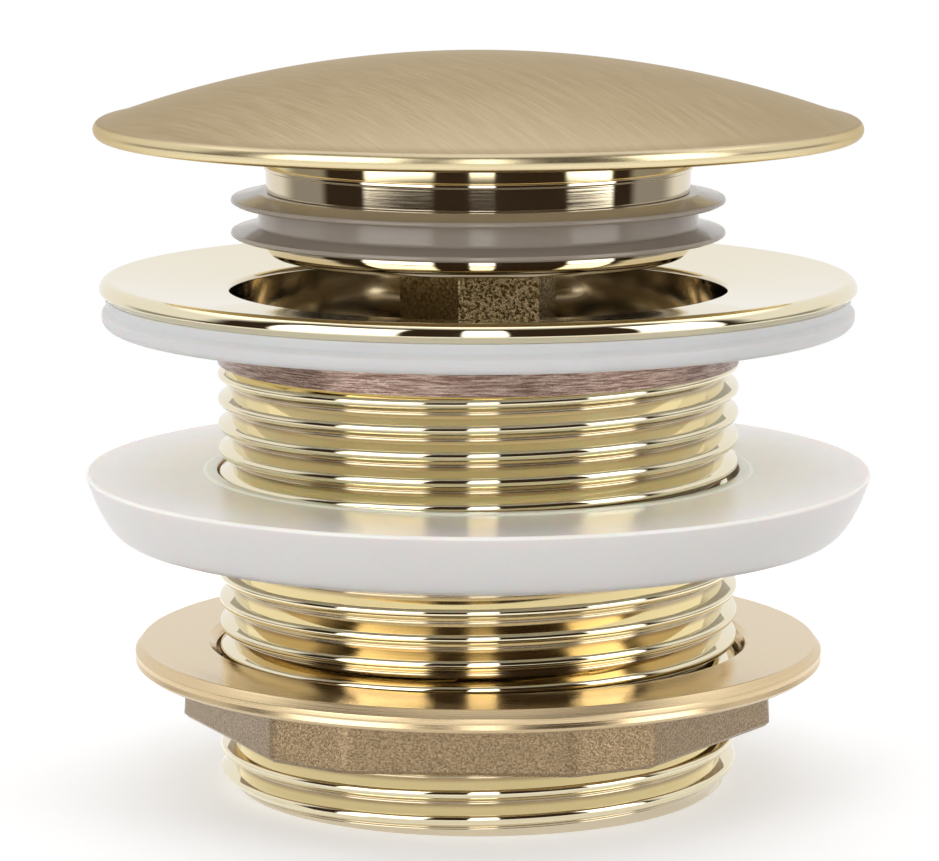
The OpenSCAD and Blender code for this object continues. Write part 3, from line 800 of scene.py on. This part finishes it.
FLOOR_R = 110.0
FLOOR_Z = -0.02
FLOOR_COLUMNS = 97
FLOOR_TO_CAMERA = 0.36
FLOOR_TO_METAL = 0.42
DEGREE = np.degrees(1.0)
LEFT_PANEL = (-64, -24.5)
FRONT_PANEL = (-4.6, 8.5, 1.0)
RIGHT_PANEL = (49, 77)
PANEL_LIGHT = 3.0
PANEL_FOOT = (-10.4, -9.6)
PANEL_HEAD = (50, 35)
SKY_LIGHT = 1.55
SIDE_LIGHT = 0.9
TABLE_EDGE = (-12.4, -14.4)
DIM_LIGHT = (0.035, 0.022, 0.014)
BLACK = (0.0, 0.0, 0.0)
WHITE = (1.0, 1.0, 1.0)

floor = lathe("floor", np.array([(FLOOR_R, FLOOR_Z), (FLOOR_R * 0.5, FLOOR_Z), (0.0, FLOOR_Z)]),
              FLOOR_COLUMNS, closed=False)
paper = Finish("white_paper", Roughness=0.9, Base_Color=(0.70, 0.70, 0.70))
to_camera = paper.seen("Is Camera Ray", "Is Transmission Ray")
ground = to_camera * FLOOR_TO_CAMERA + paper.seen("Is Glossy Ray") * FLOOR_TO_METAL
paper.feed(paper.shader, {"Emission Color": paper.blend(ground, BLACK, WHITE), "Emission Strength": 1.0})
paper.paint(floor)

world = bpy.data.worlds.new("studio")
bpy.context.scene.world = world
studio = Finish("studio", world)
side, depth, rise = studio.parts(studio.node("ShaderNodeTexCoord", output="Generated"))
bearing = studio.maths("ARCTAN2", side, 0.0 - depth) * DEGREE
climb = studio.maths("ARCSINE", rise) * DEGREE


def panel(low, high, edge=2.0):
    """1 between two bearings in degrees from the front, 0 outside."""
    return studio.ramp(bearing, low - edge, low + edge) * studio.ramp(bearing, high + edge, high - edge)


aside = studio.maths("ABSOLUTE", bearing)
panels = panel(*LEFT_PANEL) + panel(*FRONT_PANEL) + panel(*RIGHT_PANEL)
panels = panels * studio.ramp(climb, *PANEL_FOOT, 0.0, PANEL_LIGHT) * studio.ramp(climb, *PANEL_HEAD)
behind = studio.ramp(aside, 88, 96) * 0.3 + studio.ramp(aside, 116, 136) * 0.6
side_wall = studio.ramp(aside, 80, 92) * studio.ramp(climb, -2.0, 4.0) * SIDE_LIGHT
rear_sky = studio.ramp(climb, 20, 48) * studio.ramp(aside, 70, 100)
above = studio.maths("MAXIMUM", rear_sky, studio.ramp(climb, 50, 80)) * SKY_LIGHT
table = studio.ramp(climb - studio.ramp(aside, 45, 90) * 2.0, *TABLE_EDGE)
rest = studio.maths("MAXIMUM", studio.maths("MAXIMUM", behind, side_wall), above)
bright = studio.maths("MAXIMUM", panels + rest, table)
red, green, blue = (bright + level for level in DIM_LIGHT)
glow = studio.node("ShaderNodeCombineColor", None, {0: red, 1: green, 2: blue})
to_camera = studio.seen("Is Camera Ray", "Is Transmission Ray")
studio.feed(studio.shader, {"Color": studio.blend(to_camera, glow, WHITE), "Strength": 1.0})

camera = bpy.data.objects.new("camera", bpy.data.cameras.new("camera"))
camera.data.lens = 164.9
camera.data.sensor_width = 36.0
camera.location = (-0.0008, -0.391, 0.095)
camera.rotation_euler = (np.radians(80.938), 0.0, 0.0)
bpy.context.scene.collection.objects.link(camera)
bpy.context.scene.camera = camera
bpy.context.scene.view_settings.view_transform = "Standard"
